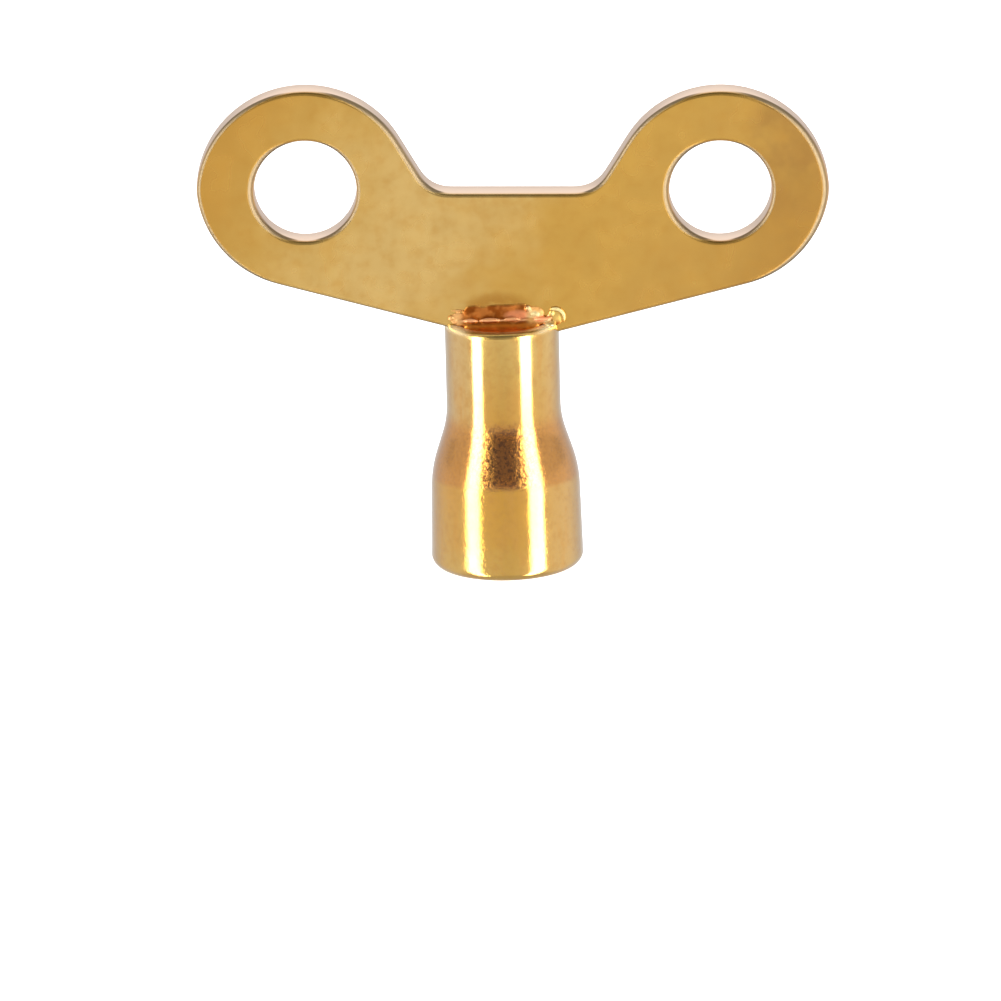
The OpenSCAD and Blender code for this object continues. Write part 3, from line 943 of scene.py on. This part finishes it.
def build_studio():
    """A white studio round the key, as reflections see it: a pale table, a bright backdrop, a dim ceiling
    and two tall softboxes. Angles are in degrees, and azimuth 0 is straight in front of the key.
    """
    world = bpy.data.worlds.new("studio")
    bpy.context.scene.world = world
    world.use_nodes = True
    nodes = Nodes(world.node_tree)
    direction = nodes.add("ShaderNodeTexCoord").outputs["Generated"]
    split = nodes.add("ShaderNodeSeparateXYZ")
    nodes.link(direction, split.inputs[0])
    x, y, z = split.outputs
    degrees = 180 / math.pi
    elevation = nodes.times(nodes.math("ARCSINE", z), degrees)
    azimuth = nodes.times(nodes.math("ARCTAN2", x, nodes.times(y, -1.0)), degrees)
    aside = nodes.math("ABSOLUTE", azimuth)
    backwards = nodes.ramp(aside, 128, 158)
    table = nodes.mix_value(nodes.ramp(aside, 4, 24), TABLE_FRONT, TABLE_LEFT)
    table = nodes.mix_value(nodes.ramp(azimuth, 10, 60), table, TABLE_RIGHT)
    table = nodes.mix_value(nodes.ramp(aside, 100, 150), table, TABLE_BACK)
    table = nodes.mix_value(nodes.ramp(elevation, -38, -62), table, TABLE_UNDER)
    front = nodes.mix_value(nodes.ramp(elevation, 3, 26), HAZE_FRONT, CEILING_FRONT)
    front = nodes.mix_value(nodes.ramp(elevation, 30, 55), front, CEILING_DARK)
    flank = nodes.mix_value(nodes.ramp(aside, 92, 122), FLANK_NEAR, FLANK_FAR)
    upper = nodes.mix_value(nodes.ramp(aside, 42, 68), front, flank)
    horizon = nodes.math("ADD", nodes.times(backwards, 9.5), 3.5)
    upright = nodes.math("ADD", nodes.math("ABSOLUTE", z), 0.05)
    overhead = nodes.ramp(nodes.math("DIVIDE", y, upright), 0.02, 0.35)
    behind = nodes.mix_value(nodes.ramp(elevation, 6, 16), TABLE_BACK, BACKDROP)
    upper = nodes.mix_value(nodes.times(overhead, nodes.ramp(elevation, 20, 50)), upper, BACKDROP)
    upper = nodes.mix_value(backwards, upper, behind)
    above = nodes.ramp(nodes.math("SUBTRACT", elevation, horizon), -3, 3)
    level = nodes.mix_value(above, table, upper)
    for centre, half_width, low, high, strength in SOFTBOXES:
        offset = nodes.math("ABSOLUTE", nodes.math("SUBTRACT", azimuth, centre))
        across = nodes.ramp(offset, half_width + 1.5, half_width - 1.5)
        lower_end = nodes.ramp(elevation, low - 6, low + 6)
        upper_end = nodes.ramp(elevation, high + 8, high - 8)
        glow = nodes.ramp(elevation, -6, 4, strength, SOFTBOX_UPPER)
        level = nodes.mix_value(nodes.times(across, nodes.times(lower_end, upper_end)), level, glow)
    studio = nodes.add("ShaderNodeBackground")
    studio.inputs["Color"].default_value = (1, 1, 1, 1)
    nodes.link(level, studio.inputs["Strength"])
    plain = nodes.add("ShaderNodeBackground")
    plain.inputs["Color"].default_value = (1, 1, 1, 1)
    plain.inputs["Strength"].default_value = 1.0
    seen = nodes.add("ShaderNodeLightPath").outputs["Is Camera Ray"]
    mix = nodes.add("ShaderNodeMixShader")
    nodes.link(seen, mix.inputs[0])
    nodes.link(studio.outputs[0], mix.inputs[1])
    nodes.link(plain.outputs[0], mix.inputs[2])
    output = nodes.add("ShaderNodeOutputWorld")
    nodes.link(mix.outputs[0], output.inputs["Surface"])


def build_camera():
    """The camera stands in front and above, rolled by the handle's lean so that the wing looks level."""
    distance, lens = 800 * MM, 403.4
    elevation = math.radians(16.5)
    aim_left, aim_below = 0.885, 22.31            # mm in the view, from the middle between the holes
    back = Vector((0, -math.cos(elevation), math.sin(elevation)))
    right, up = Vector((1, 0, 0)), back.cross(Vector((1, 0, 0)))
    turned_right = math.cos(lean) * right - math.sin(lean) * up
    turned_up = math.sin(lean) * right + math.cos(lean) * up
    aim = plate_mid - aim_left * turned_right - aim_below * turned_up
    data = bpy.data.cameras.new("camera")
    data.lens = lens
    data.sensor_width = 36
    data.clip_start, data.clip_end = 0.01, 20
    camera = bpy.data.objects.new("camera", data)
    camera.matrix_world = Matrix.Translation(aim * MM + back * distance) @ Matrix(
        (turned_right, turned_up, back)).transposed().to_4x4()
    bpy.context.scene.collection.objects.link(camera)
    bpy.context.scene.camera = camera


# ================================================================ assembly
build_camera()
build_studio()
build_floor()
bpy.context.scene.view_settings.view_transform = "Standard"

for piece, node, slot, material in (
    (build_plate(), "handle_plate", "plated_sheet", plate_material()),
    (build_tube(), "socket_tube", "plated_tube", tube_material()),
    (build_braze("front_braze", -1, FRONT_BEADS), "braze_front", "braze", braze_material()),
    (build_braze("rear_braze", 1, REAR_BEADS), "braze_rear", "braze", braze_material()),
):
    piece.data.materials.append(material)
    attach(piece, "root")
    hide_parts(node)
